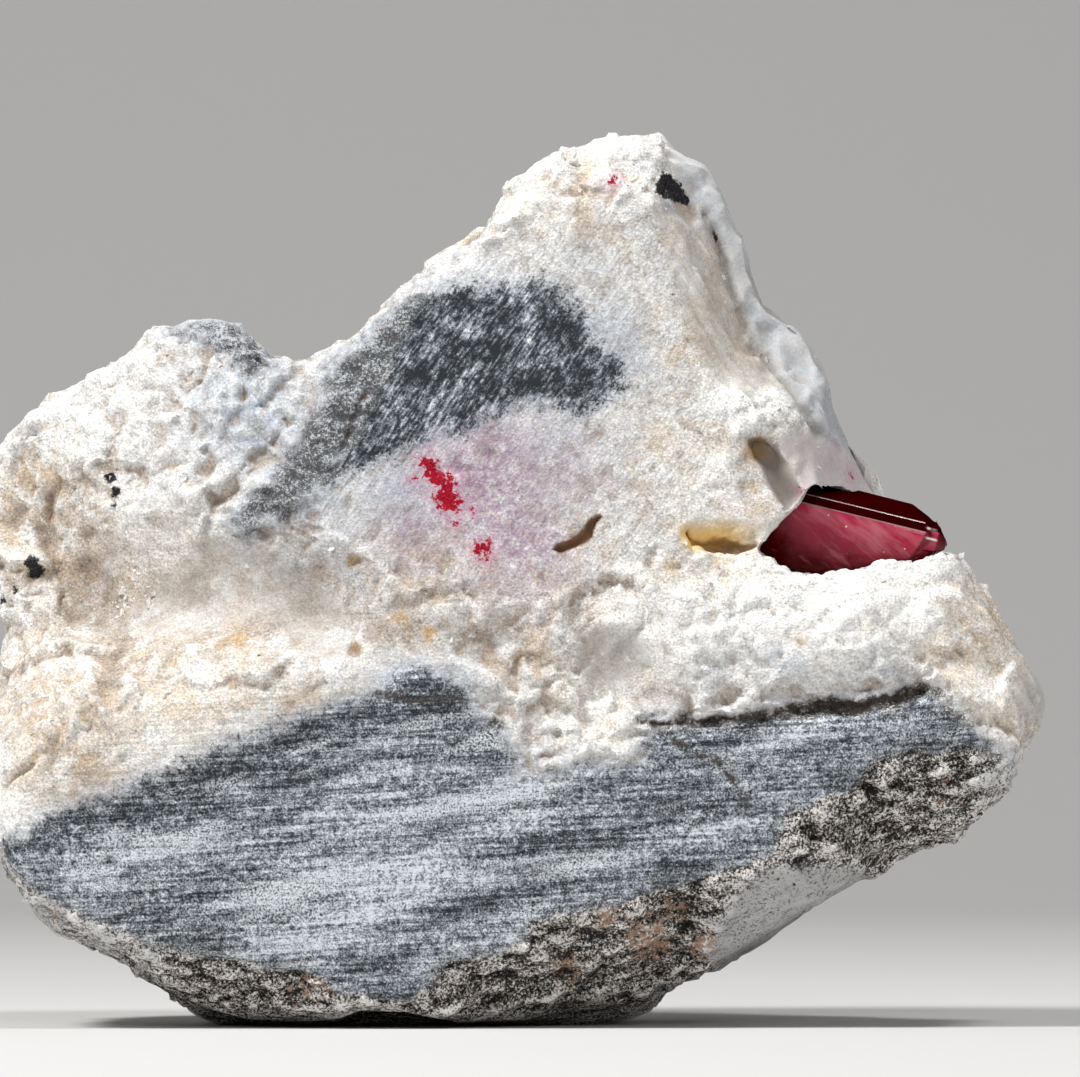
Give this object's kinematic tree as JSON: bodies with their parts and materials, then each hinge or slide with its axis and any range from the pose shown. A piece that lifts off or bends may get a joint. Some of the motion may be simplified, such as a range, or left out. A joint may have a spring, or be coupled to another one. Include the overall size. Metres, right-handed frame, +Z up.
{
  "type": "cinnabar on matrix",
  "caption": "Deep red cinnabar crystal lying in a small pocket of white dolomite, on a broken and partly sawn piece of grey banded limestone that stands upright as on a display stand",
  "frame": {"origin": "middle of the stone's footprint box, on the surface it stands on", "axes": "X runs to the right along the specimen's display face, Y from that face to the back, Z up"},
  "size_m": [0.0665, 0.0313, 0.0553],
  "materials": {
    "matrix": "broken white dolomite and sawn grey limestone",
    "pocket_crust": "fine sparkling dolomite crystals",
    "cinnabar_crystal": "adamantine deep red crystal faces"
  },
  "bodies": {
    "root": {"matrix": "matrix", "pocket_crust": "pocket_crust", "cinnabar_crystal": "cinnabar_crystal"}
  },
  "joints": []
}
